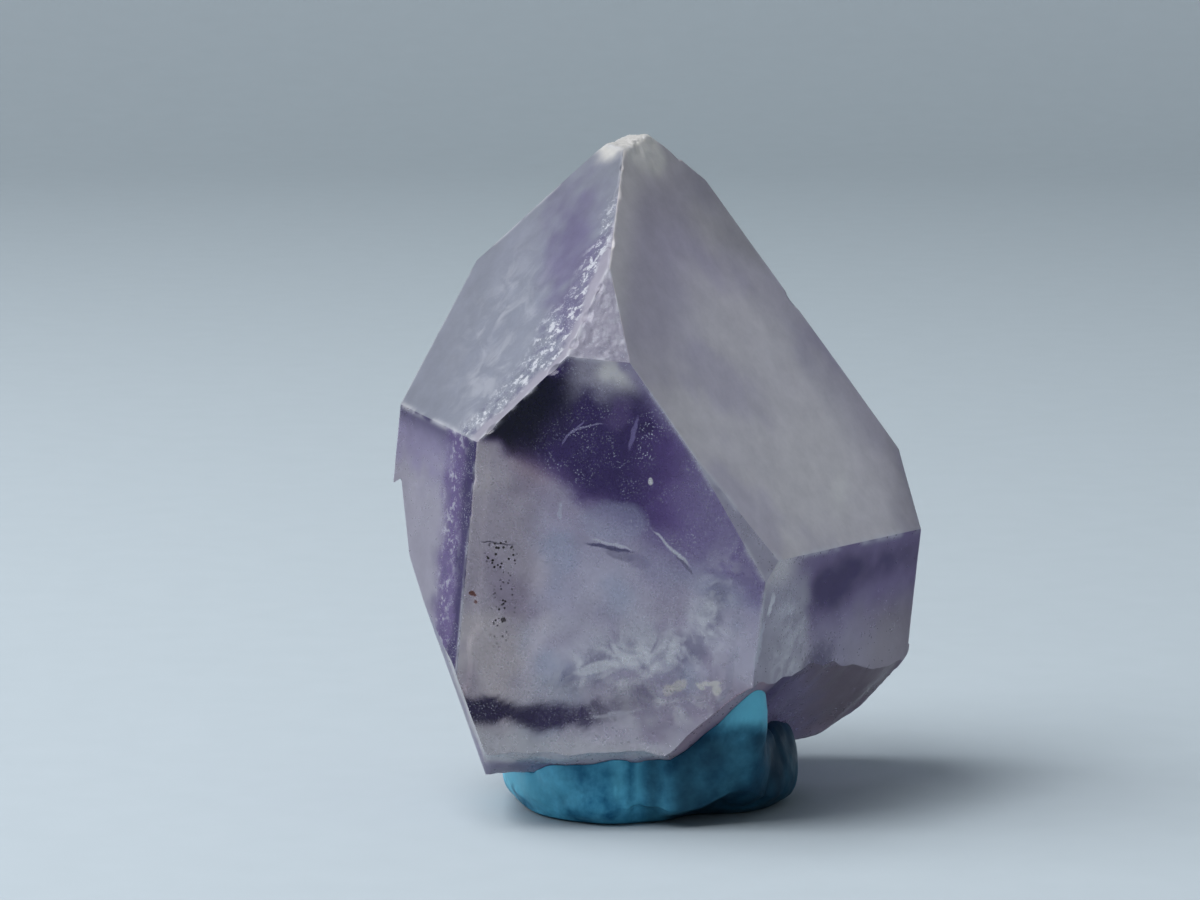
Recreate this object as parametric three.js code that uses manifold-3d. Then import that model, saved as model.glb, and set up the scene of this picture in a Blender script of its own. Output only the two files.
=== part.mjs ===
// An amethyst crystal standing in a lump of blue putty.
// Millimetres, +Z up. The crystal's front prism face looks towards -Y, and the table is at z = 0.
import * as THREE from 'three';
import { ConvexGeometry } from 'three/addons/geometries/ConvexGeometry.js';
import * as BufferGeometryUtils from 'three/addons/utils/BufferGeometryUtils.js';
import Module from 'manifold-3d';

const wasm = await Module();
wasm.setup();

// The crystal's middle, and how its long axis leans from upright, in degrees.
const MIDDLE = new THREE.Vector3(1.5, 0, 17.4);
const LEAN = { back: 3.16, right: 5.69, turn: -1.12 };
const TWIST = -1.2;

// Each flat face: its turn about the long axis from the front, to the right, the angle of its
// outward direction from the long axis, and its distance from the middle.
const PRISM = 90;
const POINT = 51.8;
const faces = {
  front: { turn: 0, slope: 89.4, out: 10.5 },
  frontRight: { turn: 59.6, slope: 89.9, out: 11.64 },
  backRight: { turn: 120, slope: PRISM, out: 14.42 },
  back: { turn: 180, slope: PRISM, out: 9.5 },
  backLeft: { turn: 240.1, slope: 90.2, out: 8.43 },
  frontLeft: { turn: 300, slope: PRISM, out: 11.48 },
  pointRight: { turn: 60.2, slope: 53.65, out: 7.7 },
  pointLeft: { turn: 300.2, slope: 53.7, out: 10.24 },
  pointBack: { turn: 180, slope: POINT, out: 11.82 },
  smallFront: { turn: 0, slope: 50.6, out: 12.04 },
  smallRight: { turn: 120, slope: POINT, out: 11.59 },
  smallLeft: { turn: 240, slope: 51.6, out: 11.85 },
  corner: { turn: 36.2, slope: 67.2, out: 10.38 },
  wornTip: { turn: -60, slope: 14, out: 15.0 },
  wornTipRight: { turn: 75, slope: 27, out: 14.1 },
};

// The lowest that any face reaches along the long axis, before the crystal is broken off.
const ROOT_DEPTH = 20;

// The broken base, as heights above the table.
const RIM = { x: -5.53, y: -9.69, z: 3.8 };
const BELLY_HEIGHT = 2.25;
const BELLY_Y = -6.4;
const BELLY_SLOPE = 0.47;
const BACK_RISE_Y = 2.5;
const BACK_RISE = 0.42;
const RIGHT_RISE_X = 10.4;
const RIGHT_RISE = 0.16;
const LEFT_SLOPE = 2.8;
const LEFT_STEP = { x: -9.4, slope: 6, height: 16.7, ledge: 0.5 };
const LEFT_BACK = { y: -1, slope: 0.55 };
const LEFT_FLARE = { reach: 3.3, slope: 0.55 };
const SCAR = { x: 7.39, y: -10.36, z: 7.2, alongX: 0.82, alongY: -0.6 };
const SCAR_BOWL = { radius: 6, depth: 0.5 };
const RIPPLE = { length: 2.3, height: 0.07 };
const ROUGH = 0.16;

// The putty: the middle of its footprint, its reach to each side and its height at the edge.
const PUTTY = { x: 2.4, y: -2.3, reachX: 7.3, reachFront: 7.0, reachBack: 6.8, edge: 4.4 };
const PINCH = { angle: -94, width: 9, depth: 0.45 };
const TONGUE = { angle: -54, width: 12, rise: 3.9, reach: 0.4 };
// On the right in front the lump overhangs its foot, up to a share of the edge's height.
const TUCK = { angle: -62, width: 30, depth: 0.32, upTo: 0.2 };
const CLEARANCE = 0.3;
const PUTTY_SIDES = 56;

// Chips out of the sharp edges: the two faces that meet there, the share of the way along, and the size.
const CHIPS = [
  { between: ['pointLeft', 'pointRight'], at: 0.2, size: 0.8 },
  { between: ['pointLeft', 'pointRight'], at: 0.62, size: 0.7 },
  { between: ['pointLeft', 'smallFront'], at: 0.45, size: 0.75 },
  { between: ['pointLeft', 'front'], at: 0.15, size: 0.6 },
  { between: ['pointLeft', 'front'], at: 0.85, size: 0.7 },
  { between: ['front', 'frontLeft'], at: 0.08, size: 0.6 },
  { between: ['pointRight', 'smallRight'], at: 0.55, size: 0.7 },
  { between: ['pointRight', 'pointBack'], at: 0.5, size: 0.7 },
  { between: ['backRight', 'back'], at: 0.3, size: 1.0 },
  { between: ['backLeft', 'back'], at: 0.35, size: 0.9 },
];

const deg = THREE.MathUtils.degToRad;

// The crystal's own axes, seen from the table.
const leaning = new THREE.Matrix4().makeRotationFromEuler(
  new THREE.Euler(deg(LEAN.back), deg(LEAN.right), deg(LEAN.turn), 'XYZ'));
const placing = new THREE.Matrix4().makeTranslation(MIDDLE).multiply(leaning);

function outward({ turn, slope }) {
  const around = deg(turn + TWIST);
  const s = Math.sin(deg(slope));
  return new THREE.Vector3(s * Math.sin(around), -s * Math.cos(around), Math.cos(deg(slope)));
}

const planes = Object.fromEntries(Object.entries(faces).map(
  ([name, face]) => [name, new THREE.Plane(outward(face), -face.out)]));
planes.root = new THREE.Plane(new THREE.Vector3(0, 0, -1), -ROOT_DEPTH);

// The point where three planes meet, or null where two of them are parallel.
function meeting(a, b, c) {
  const across = b.normal.clone().cross(c.normal);
  const volume = a.normal.dot(across);
  if (Math.abs(volume) < 1e-6) return null;
  return across.multiplyScalar(-a.constant)
    .addScaledVector(c.normal.clone().cross(a.normal), -b.constant)
    .addScaledVector(a.normal.clone().cross(b.normal), -c.constant)
    .divideScalar(volume);
}

// All corners of the body that lies behind every plane, each with the names of its three planes.
function corners() {
  const names = Object.keys(planes);
  const found = [];
  for (let i = 0; i < names.length; i++) {
    for (let j = i + 1; j < names.length; j++) {
      for (let k = j + 1; k < names.length; k++) {
        const on = [names[i], names[j], names[k]];
        const point = meeting(...on.map((name) => planes[name]));
        if (!point) continue;
        const inside = Object.values(planes).every((plane) => plane.distanceToPoint(point) < 1e-6);
        if (inside) found.push({ on, point });
      }
    }
  }
  return found;
}

const allCorners = corners();

function toSolid(geometry) {
  const bare = geometry.clone();
  bare.deleteAttribute('normal');
  bare.deleteAttribute('uv');
  const merged = BufferGeometryUtils.mergeVertices(bare, 1e-5);
  return new wasm.Manifold(new wasm.Mesh({
    numProp: 3,
    vertProperties: new Float32Array(merged.attributes.position.array),
    triVerts: new Uint32Array(merged.index.array),
  }));
}

function toGeometry(solid) {
  const mesh = solid.getMesh();
  const geometry = new THREE.BufferGeometry();
  geometry.setAttribute('position', new THREE.BufferAttribute(mesh.vertProperties, 3));
  geometry.setIndex(new THREE.BufferAttribute(mesh.triVerts, 1));
  geometry.computeVertexNormals();
  return geometry;
}

// Slow, repeatable unevenness between about -1 and 1.
function uneven(x, y) {
  return 0.5 * Math.sin(1.3 * x + 0.7 * Math.sin(0.9 * y))
    + 0.3 * Math.sin(1.9 * y - 0.8 * x + 1.1)
    + 0.2 * Math.sin(3.1 * x + 2.3 * y);
}

// Height of the flake scar under the front right corner: a slope with a shallow bowl
// and rings around the point where the blow fell.
function scarHeight(x, y) {
  const away = Math.hypot(x - SCAR.x, y - SCAR.y);
  const slope = SCAR.z + SCAR.alongX * (x - SCAR.x) + SCAR.alongY * (y - SCAR.y);
  const bowl = SCAR_BOWL.depth * Math.sin(Math.PI * Math.min(away / SCAR_BOWL.radius / 2, 1));
  return slope + bowl + RIPPLE.height * Math.sin(2 * Math.PI * away / RIPPLE.length);
}

// Height of the steep break on the left, with a ledge near its top.
function leftHeight(x, y) {
  const flare = LEFT_FLARE.slope * Math.min(Math.max(y - RIM.y, 0), LEFT_FLARE.reach);
  const steep = RIM.z + LEFT_SLOPE * (RIM.x - x) - flare
    + LEFT_STEP.slope * Math.max(0, LEFT_STEP.x - x)
    + LEFT_BACK.slope * Math.max(0, y - LEFT_BACK.y);
  const ledge = LEFT_STEP.height - LEFT_STEP.ledge * (LEFT_STEP.x - x)
    + LEFT_BACK.slope * Math.max(0, y - LEFT_BACK.y);
  return Math.min(steep, ledge);
}

// Height of the broken underside, lowest behind the front rim and rising to the back and right.
function bellyHeight(x, y) {
  return BELLY_HEIGHT + BELLY_SLOPE * Math.max(0, BELLY_Y - y)
    + BACK_RISE * Math.max(0, y - BACK_RISE_Y)
    + RIGHT_RISE * Math.max(0, x - RIGHT_RISE_X) ** 2;
}

function breakHeight(x, y) {
  return Math.max(scarHeight(x, y), leftHeight(x, y), bellyHeight(x, y)) + ROUGH * uneven(x, y);
}

// The underside again, lowered so that what lies under it stays clear by the same amount everywhere.
function clearHeight(x, y) {
  const step = 0.05;
  const here = breakHeight(x, y);
  const slopeX = (breakHeight(x + step, y) - breakHeight(x - step, y)) / (2 * step);
  const slopeY = (breakHeight(x, y + step) - breakHeight(x, y - step)) / (2 * step);
  return here - CLEARANCE * Math.min(Math.hypot(1, slopeX, slopeY), 2);
}

// A closed block over a rectangle, between a flat level and a surface of given height.
function block(box, spacing, height, level) {
  const across = Math.round((box.x1 - box.x0) / spacing);
  const along = Math.round((box.y1 - box.y0) / spacing);
  const lid = new THREE.PlaneGeometry(box.x1 - box.x0, box.y1 - box.y0, across, along);
  lid.translate((box.x0 + box.x1) / 2, (box.y0 + box.y1) / 2, 0);
  const positions = lid.attributes.position;
  const count = positions.count;
  const points = [];
  for (let i = 0; i < count; i++) {
    points.push(positions.getX(i), positions.getY(i), height(positions.getX(i), positions.getY(i)));
  }
  for (let i = 0; i < count; i++) points.push(positions.getX(i), positions.getY(i), level);
  const index = [...lid.index.array];
  const triangles = [...index];
  for (let i = 0; i < index.length; i += 3) {
    triangles.push(index[i] + count, index[i + 2] + count, index[i + 1] + count);
  }
  const rim = [];
  for (let i = 0; i < across; i++) rim.push(i);
  for (let j = 0; j < along; j++) rim.push(across + j * (across + 1));
  for (let i = across; i > 0; i--) rim.push(along * (across + 1) + i);
  for (let j = along; j > 0; j--) rim.push(j * (across + 1));
  rim.forEach((a, i) => {
    const b = rim[(i + 1) % rim.length];
    triangles.push(a, b, b + count, a, b + count, a + count);
  });
  const geometry = new THREE.BufferGeometry();
  geometry.setAttribute('position', new THREE.Float32BufferAttribute(points, 3));
  const above = level > height(box.x0, box.y0);
  if (above) triangles.reverse();
  geometry.setIndex(triangles);
  return geometry;
}

// A chip is where a small many-sided lump has been taken out of an edge between two faces.
function chip({ between, at, size }) {
  const ends = allCorners.filter(({ on }) => between.every((name) => on.includes(name)));
  const place = ends[0].point.clone().lerp(ends[1].point, at);
  const out = planes[between[0]].normal.clone().add(planes[between[1]].normal).normalize();
  const lump = new THREE.DodecahedronGeometry(size, 0);
  lump.scale(1.5, 1, 1);
  lump.rotateZ(at * 7);
  lump.rotateX(at * 11);
  lump.translate(...place.addScaledVector(out, size * 0.72).toArray());
  return lump.applyMatrix4(placing);
}

function crystalSolid() {
  const whole = new ConvexGeometry(allCorners.map(({ point }) => point)).applyMatrix4(placing);
  const under = block({ x0: -16, x1: 20, y0: -15, y1: 14 }, 0.6, breakHeight, -ROOT_DEPTH);
  let solid = toSolid(whole).subtract(toSolid(under));
  CHIPS.forEach((each) => {
    solid = solid.subtract(toSolid(chip(each)));
  });
  return solid;
}

function bump(angle, { angle: at, width }) {
  const off = (((angle - at) % 360) + 540) % 360 - 180;
  return Math.exp(-((off / width) ** 2));
}

// The putty as rings around its middle: a flat foot, a swelling side and a domed top.
// Each ring is a share of the reach and a share of the edge's height.
const PUTTY_RINGS = [
  [0.45, 0], [0.84, 0], [0.93, 0.07], [0.985, 0.22], [1, 0.42], [0.99, 0.62], [0.95, 0.82],
  [0.87, 0.96], [0.7, 1.04], [0.4, 1.08],
];

function puttyGeometry() {
  const points = [PUTTY.x, PUTTY.y, 0];
  PUTTY_RINGS.forEach(([share, rise]) => {
    for (let i = 0; i < PUTTY_SIDES; i++) {
      const angle = 360 * i / PUTTY_SIDES;
      const forward = Math.sin(deg(angle)) < 0;
      const pinch = 1 - PINCH.depth / PUTTY.reachFront * bump(angle, PINCH) * (rise > 0 ? 1 : 0.5);
      const lumps = 1 + 0.02 * Math.sin(deg(3 * angle + 40)) + 0.012 * Math.sin(deg(7 * angle));
      const reachY = forward ? PUTTY.reachFront : PUTTY.reachBack;
      const tongue = 1 + TONGUE.reach * rise * bump(angle, TONGUE);
      const tuck = 1 - TUCK.depth * bump(angle, TUCK) * Math.max(0, 1 - rise / TUCK.upTo);
      const reach = share * pinch * lumps * tongue * tuck;
      const edge = PUTTY.edge + TONGUE.rise * bump(angle, TONGUE) * (share > 0.6 ? 1 : 0.2);
      points.push(
        PUTTY.x + reach * PUTTY.reachX * Math.cos(deg(angle)),
        PUTTY.y + reach * reachY * Math.sin(deg(angle)),
        rise * edge);
    }
  });
  points.push(PUTTY.x, PUTTY.y, PUTTY_RINGS.at(-1)[1] * PUTTY.edge);
  const triangles = [];
  const ring = (row, i) => 1 + row * PUTTY_SIDES + i % PUTTY_SIDES;
  const last = PUTTY_RINGS.length - 1;
  const top = points.length / 3 - 1;
  for (let i = 0; i < PUTTY_SIDES; i++) {
    triangles.push(0, ring(0, i + 1), ring(0, i), top, ring(last, i), ring(last, i + 1));
    for (let row = 0; row < last; row++) {
      const corner = [ring(row, i), ring(row, i + 1), ring(row + 1, i + 1), ring(row + 1, i)];
      triangles.push(corner[0], corner[1], corner[2], corner[0], corner[2], corner[3]);
    }
  }
  const geometry = new THREE.BufferGeometry();
  geometry.setAttribute('position', new THREE.Float32BufferAttribute(points, 3));
  geometry.setIndex(triangles);
  return geometry;
}

function puttySolid() {
  const over = block({ x0: -9, x1: 14, y0: -13, y1: 9 }, 0.6, clearHeight, 2 * ROOT_DEPTH);
  return toSolid(puttyGeometry()).subtract(toSolid(over));
}

const amethyst = new THREE.Mesh(
  toGeometry(crystalSolid()),
  new THREE.MeshStandardMaterial({ color: 0x8b8aa4, roughness: 0.28, metalness: 0, flatShading: true }));
amethyst.name = 'amethyst_crystal';

const putty = new THREE.Mesh(
  toGeometry(puttySolid()),
  new THREE.MeshStandardMaterial({ color: 0x2e7f9c, roughness: 0.55, metalness: 0 }));
putty.name = 'mounting_putty';

// The origin is under the middle of the specimen's own box, on the table.
const specimen = new THREE.Group();
specimen.add(amethyst, putty);
const box = new THREE.Box3().setFromObject(specimen);
specimen.position.set(-(box.min.x + box.max.x) / 2, -(box.min.y + box.max.y) / 2, -box.min.z);

const group = new THREE.Group();
group.add(specimen);

export default group;
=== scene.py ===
"""An amethyst point standing in a lump of blue putty, seen close up on a pale table.

Lengths are millimetres in the drawing frame that the crystal and the putty share, and become
metres in the object's own frame when a mesh is made.
"""

import math
from itertools import combinations

import bpy
import numpy as np
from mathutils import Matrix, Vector


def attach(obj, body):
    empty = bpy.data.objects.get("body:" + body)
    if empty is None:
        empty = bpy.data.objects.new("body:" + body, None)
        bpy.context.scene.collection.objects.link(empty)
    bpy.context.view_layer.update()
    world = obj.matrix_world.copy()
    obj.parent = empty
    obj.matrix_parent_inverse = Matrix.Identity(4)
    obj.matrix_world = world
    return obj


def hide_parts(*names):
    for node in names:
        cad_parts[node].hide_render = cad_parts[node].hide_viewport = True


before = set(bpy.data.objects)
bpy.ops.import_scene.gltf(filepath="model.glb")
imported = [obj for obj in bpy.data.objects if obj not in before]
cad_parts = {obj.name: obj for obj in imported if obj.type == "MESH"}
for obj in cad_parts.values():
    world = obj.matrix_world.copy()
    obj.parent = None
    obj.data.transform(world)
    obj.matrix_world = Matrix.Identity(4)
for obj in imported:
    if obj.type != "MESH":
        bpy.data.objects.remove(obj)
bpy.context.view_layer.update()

MM = 0.001

# Where the drawing frame's origin lies in the object's own frame.
SHIFT = np.array([-3.026, 0.208, 0.0])

# The crystal's middle, the lean of its long axis in degrees, and the turn of its faces round it.
MIDDLE = np.array([1.5, 0.0, 17.4])
LEAN_BACK, LEAN_RIGHT, LEAN_TURN = 3.16, 5.69, -1.12
TWIST = -1.2

# Each flat face: its turn from the front to the right, the angle of its outward direction from
# the long axis, both in degrees, and its distance from the middle.
FACES = {
    "front": (0, 89.4, 10.5),
    "frontRight": (59.6, 89.9, 11.64),
    "backRight": (120, 90, 14.42),
    "back": (180, 90, 9.5),
    "backLeft": (240.1, 90.2, 8.43),
    "frontLeft": (300, 90, 11.48),
    "pointRight": (60.2, 53.65, 7.7),
    "pointLeft": (300.2, 53.7, 10.24),
    "pointBack": (180, 51.8, 11.82),
    "smallFront": (0, 50.6, 12.04),
    "smallRight": (120, 51.8, 11.59),
    "smallLeft": (240, 51.6, 11.85),
    "corner": (36.2, 67.2, 10.38),
    "wornTip": (-60, 14, 15.0),
    "wornTipRight": (75, 27, 14.1),
}
ROOT_DEPTH = 20.0
POINT_FACES = ("pointRight", "pointLeft", "pointBack", "smallFront", "smallRight", "smallLeft")

# The broken base, as heights above the table.
RIM_X, RIM_Y, RIM_Z = -5.53, -9.69, 3.8
BELLY_HEIGHT, BELLY_Y, BELLY_SLOPE = 2.25, -6.4, 0.47
BACK_RISE_Y, BACK_RISE = 2.5, 0.42
RIGHT_RISE_X, RIGHT_RISE = 10.4, 0.16
LEFT_SLOPE = 2.8
STEP_X, STEP_SLOPE, STEP_HEIGHT, STEP_LEDGE = -9.4, 6.0, 16.7, 0.5
LEFT_BACK_Y, LEFT_BACK_SLOPE = -1.0, 0.55
FLARE_REACH, FLARE_SLOPE = 3.3, 0.55
SCAR_X, SCAR_Y, SCAR_Z, SCAR_ALONG_X, SCAR_ALONG_Y = 7.39, -10.36, 7.2, 0.82, -0.6
BOWL_RADIUS, BOWL_DEPTH = 6.0, 0.5
RIPPLE_LENGTH, RIPPLE_HEIGHT = 2.3, 0.06
ROUGH = 0.16

# The putty: the middle of its foot, its reach to each side and the height of its edge.
PUTTY_X, PUTTY_Y, PUTTY_EDGE = 2.4, -2.3, 4.4
REACH_SIDE, REACH_FRONT, REACH_BACK = 7.3, 7.0, 6.8
PINCH_ANGLE, PINCH_WIDTH, PINCH_DEPTH = -94.0, 9.0, 0.45
TONGUE_ANGLE, TONGUE_WIDTH, TONGUE_RISE, TONGUE_REACH = -54.0, 12.0, 3.9, 0.4
TUCK_ANGLE, TUCK_WIDTH, TUCK_DEPTH, TUCK_UP_TO = -62.0, 30.0, 0.32, 0.2

# The photo's camera: distance, height above the table's level, and pixels to the millimetre.
CAMERA_DISTANCE, CAMERA_ELEVATION = 265.0, 8.0
PHOTO_WIDTH, PIXELS_PER_MM = 1200, 20.0
AIM = np.array([0.0, 0.0, 17.4])
SENSOR_MM = 36.0


# Number helpers

def ease(value, low, high):
    """Smooth step: 0 below low, 1 above high, 3t^2 - 2t^3 between."""
    t = np.clip((value - low) / (high - low), 0.0, 1.0)
    return t * t * (3.0 - 2.0 * t)


def spot(u, v, middle, reach, tilt=0.0):
    """Soft oval: exp(-r^2), r measured in the oval's own reaches after turning it by tilt degrees."""
    c, s = math.cos(math.radians(tilt)), math.sin(math.radians(tilt))
    du, dv = u - middle[0], v - middle[1]
    return np.exp(-(((c * du + s * dv) / reach[0]) ** 2 + ((c * dv - s * du) / reach[1]) ** 2))


def stroke(u, v, path, width):
    """Soft line: exp(-(distance to the nearest stretch of the path / width)^2)."""
    best = np.full(np.shape(u), 1e9)
    for (u0, v0), (u1, v1) in zip(path[:-1], path[1:]):
        du, dv = u1 - u0, v1 - v0
        t = np.clip(((u - u0) * du + (v - v0) * dv) / (du * du + dv * dv), 0.0, 1.0)
        best = np.minimum(best, np.hypot(u - u0 - t * du, v - v0 - t * dv))
    return np.exp(-(best / width) ** 2)


LATTICE = 32


def drift(points, size, seed):
    """Random values between -1 and 1 on a cubic lattice `size` apart, blended smoothly between its points."""
    table = np.random.default_rng(seed).uniform(-1.0, 1.0, (LATTICE,) * 3)
    scaled = np.asarray(points) / size
    cell = np.floor(scaled).astype(int)
    part = scaled - cell
    part = part * part * (3.0 - 2.0 * part)
    x, y, z = np.moveaxis(part, -1, 0)
    i, j, k = np.moveaxis(cell % LATTICE, -1, 0)
    i2, j2, k2 = (i + 1) % LATTICE, (j + 1) % LATTICE, (k + 1) % LATTICE
    near = (table[i, j, k] * (1 - x) + table[i2, j, k] * x) * (1 - y)
    near += (table[i, j2, k] * (1 - x) + table[i2, j2, k] * x) * y
    far = (table[i, j, k2] * (1 - x) + table[i2, j, k2] * x) * (1 - y)
    far += (table[i, j2, k2] * (1 - x) + table[i2, j2, k2] * x) * y
    return near * (1 - z) + far * z


def cloudy(points, size, seed, octaves=4):
    """Sum of drift at size, size/2, size/4 and so on, each half as strong, scaled to about -1 to 1."""
    return sum(drift(points, size / 2 ** n, seed + n) * 0.5 ** n for n in range(octaves)) / 1.2


def linear(code):
    """sRGB hex colour as linear red, green and blue."""
    parts = np.array([int(code[i:i + 2], 16) / 255.0 for i in (1, 3, 5)])
    return np.where(parts <= 0.04045, parts / 12.92, ((parts + 0.055) / 1.055) ** 2.4)


# The crystal's shape

def leaning():
    """Rotation about x, then y, then z axes carried with the body, as one matrix."""
    a, b, c = (math.radians(v) for v in (LEAN_BACK, LEAN_RIGHT, LEAN_TURN))
    about_x = np.array([[1, 0, 0], [0, math.cos(a), -math.sin(a)], [0, math.sin(a), math.cos(a)]])
    about_y = np.array([[math.cos(b), 0, math.sin(b)], [0, 1, 0], [-math.sin(b), 0, math.cos(b)]])
    about_z = np.array([[math.cos(c), -math.sin(c), 0], [math.sin(c), math.cos(c), 0], [0, 0, 1]])
    return about_x @ about_y @ about_z


AXES = leaning()


def standing(points):
    """Points of the crystal's own frame, whose z is its long axis, in the drawing frame."""
    return points @ AXES.T + MIDDLE


def outward(turn, slope):
    """The outward direction of a face, from its turn round the long axis and its angle from it."""
    around, off = math.radians(turn + TWIST), math.radians(slope)
    return np.array([math.sin(off) * math.sin(around), -math.sin(off) * math.cos(around), math.cos(off)])


NORMALS = {name: outward(turn, slope) for name, (turn, slope, _) in FACES.items()}
OUTS = {name: out for name, (_, _, out) in FACES.items()}


def depth_below(points, name):
    """How deep each point lies under the plane of a face."""
    return OUTS[name] - points @ NORMALS[name]


def corners():
    """Each corner of the body behind every face plane and above a flat root: (its three faces, its place)."""
    normals = dict(NORMALS, root=np.array([0.0, 0.0, -1.0]))
    outs = dict(OUTS, root=ROOT_DEPTH)
    found = []
    for trio in combinations(normals, 3):
        matrix = np.array([normals[name] for name in trio])
        if abs(np.linalg.det(matrix)) < 1e-6:
            continue
        place = np.linalg.solve(matrix, [outs[name] for name in trio])
        if all(normals[name] @ place <= outs[name] + 1e-6 for name in normals):
            found.append((trio, place))
    return found, normals


def uneven(x, y):
    """Slow, repeatable unevenness from three crossed sine waves."""
    return (0.5 * np.sin(1.3 * x + 0.7 * np.sin(0.9 * y)) + 0.3 * np.sin(1.9 * y - 0.8 * x + 1.1)
            + 0.2 * np.sin(3.1 * x + 2.3 * y))


def scar_height(x, y):
    """A slope with a shallow bowl and rings around the point where the blow fell."""
    away = np.hypot(x - SCAR_X, y - SCAR_Y)
    slope = SCAR_Z + SCAR_ALONG_X * (x - SCAR_X) + SCAR_ALONG_Y * (y - SCAR_Y)
    bowl = BOWL_DEPTH * np.sin(np.pi * np.minimum(away / BOWL_RADIUS / 2, 1))
    return slope + bowl + RIPPLE_HEIGHT * np.sin(2 * np.pi * away / RIPPLE_LENGTH)


def left_height(x, y):
    """A steep plane rising to the left, flared at the front, capped by a ledge near its top."""
    back = LEFT_BACK_SLOPE * np.maximum(0, y - LEFT_BACK_Y)
    flare = FLARE_SLOPE * np.clip(y - RIM_Y, 0, FLARE_REACH)
    steep = RIM_Z + LEFT_SLOPE * (RIM_X - x) - flare + STEP_SLOPE * np.maximum(0, STEP_X - x) + back
    ledge = STEP_HEIGHT - STEP_LEDGE * (STEP_X - x) + back
    return np.minimum(steep, ledge)


def belly_height(x, y):
    """Lowest behind the front rim, rising to the back in a straight slope and to the right in a curve."""
    return (BELLY_HEIGHT + BELLY_SLOPE * np.maximum(0, BELLY_Y - y)
            + BACK_RISE * np.maximum(0, y - BACK_RISE_Y)
            + RIGHT_RISE * np.maximum(0, x - RIGHT_RISE_X) ** 2)


def break_height(x, y):
    """The broken base: the highest of its three surfaces, with the unevenness over all."""
    highest = np.maximum.reduce([scar_height(x, y), left_height(x, y), belly_height(x, y)])
    return highest + ROUGH * uneven(x, y)


def fine_break(x, y):
    """The broken base with the small hackle that a fresh fracture has."""
    flat = np.stack([x, y, np.zeros_like(x)], axis=-1)
    hackle = 0.10 * cloudy(flat, 1.7, 11) + 0.05 * np.abs(drift(flat, 0.55, 17))
    return break_height(x, y) + hackle


STEPS = 35
RIM_GRADING = 1.6


def grid_quads(rows, columns, start=0):
    """Four-sided faces of a grid of points that is numbered row by row."""
    index = start + np.arange(rows * columns).reshape(rows, columns)
    return np.stack([index[:-1, :-1], index[1:, :-1], index[1:, 1:], index[:-1, 1:]], axis=-1).reshape(-1, 4)


def face_patches():
    """Every face cut into one four-sided patch for each of its corners.

    A patch runs between the corner, the middles of the two edges that meet there and the middle of the
    face, blended in straight lines. Its points crowd towards the edges by a power of their share of the
    way, so that neighbouring faces share them and worn edges are finely divided.
    """
    found, normals = corners()
    share = (np.arange(STEPS + 1) / STEPS) ** RIM_GRADING
    u, v = share[:, None, None], share[None, :, None]
    points, quads, owner = [], [], []
    count = 0
    for number, name in enumerate(normals):
        ring = np.array([place for trio, place in found if name in trio])
        if len(ring) < 3:
            continue
        middle = ring.mean(axis=0)
        across = ring[0] - middle
        along = np.cross(normals[name], across)
        around = np.arctan2((ring - middle) @ along, (ring - middle) @ across)
        ring = ring[np.argsort(around)]
        for i in range(len(ring)):
            corner, following, before = ring[i], ring[(i + 1) % len(ring)], ring[i - 1]
            to_next, to_last = (corner + following) / 2, (corner + before) / 2
            patch = (1 - v) * ((1 - u) * corner + u * to_next) + v * ((1 - u) * to_last + u * middle)
            points.append(patch.reshape(-1, 3))
            quads.append(grid_quads(STEPS + 1, STEPS + 1, count))
            owner.append(np.full((STEPS + 1) ** 2, number))
            count += (STEPS + 1) ** 2
    return np.concatenate(points), np.concatenate(quads), np.concatenate(owner), list(normals)


def welded(points, quads, owner):
    """Points closer than a ten-thousandth of a millimetre become one."""
    _, first, into = np.unique(np.round(points * 1e4), axis=0, return_index=True, return_inverse=True)
    return points[first], into.ravel()[quads], owner[first]


def top_of_column(points):
    """Where a line through each point along the long axis leaves the crystal through its upper faces."""
    tops = np.full(len(points), 1e9)
    for name, normal in NORMALS.items():
        if normal[2] > 0.05:
            tops = np.minimum(tops, (OUTS[name] - points[:, :2] @ normal[:2]) / normal[2])
    return tops


def foot_of_column(points):
    """Where that line meets the broken base, by stepping towards it."""
    level = np.full(len(points), -10.0)
    for height, steps in ((break_height, 40), (fine_break, 8)):
        for _ in range(steps):
            there = standing(np.column_stack([points[:, :2], level]))
            level += 0.8 * (height(there[:, 0], there[:, 1]) - there[:, 2])
    return level


def broken_off(points):
    """Every column is stretched along the axis from the flat root to the broken base, its top kept."""
    top, foot = top_of_column(points), foot_of_column(points)
    share = (points[:, 2] + ROOT_DEPTH) / (top + ROOT_DEPTH)
    return np.column_stack([points[:, :2], foot + share * (top - foot)])


WEAR_ROUNDS = 30


def worn_edges(points, radius):
    """Edges rounded to a radius: each point goes to that distance from the nearest point of the body
    whose faces all lie one radius deeper, found by projecting on its faces in turn.
    """
    depths = np.sort(np.stack([depth_below(points, name) for name in NORMALS], axis=1), axis=1)
    near = depths[:, 1] < 4.0 * radius
    start, reach = points[near], radius[near]
    core = start.copy()
    debt = {name: np.zeros_like(start) for name in NORMALS}
    for _ in range(WEAR_ROUNDS):
        for name, normal in NORMALS.items():
            tried = core + debt[name]
            over = np.maximum(tried @ normal - (OUTS[name] - reach), 0.0)
            core = tried - over[:, None] * normal
            debt[name] = tried - core
    away = start - core
    length = np.maximum(np.linalg.norm(away, axis=1), 1e-9)
    worn = points.copy()
    worn[near] = core + away * np.minimum(1.0, reach / length)[:, None]
    return worn


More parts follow.
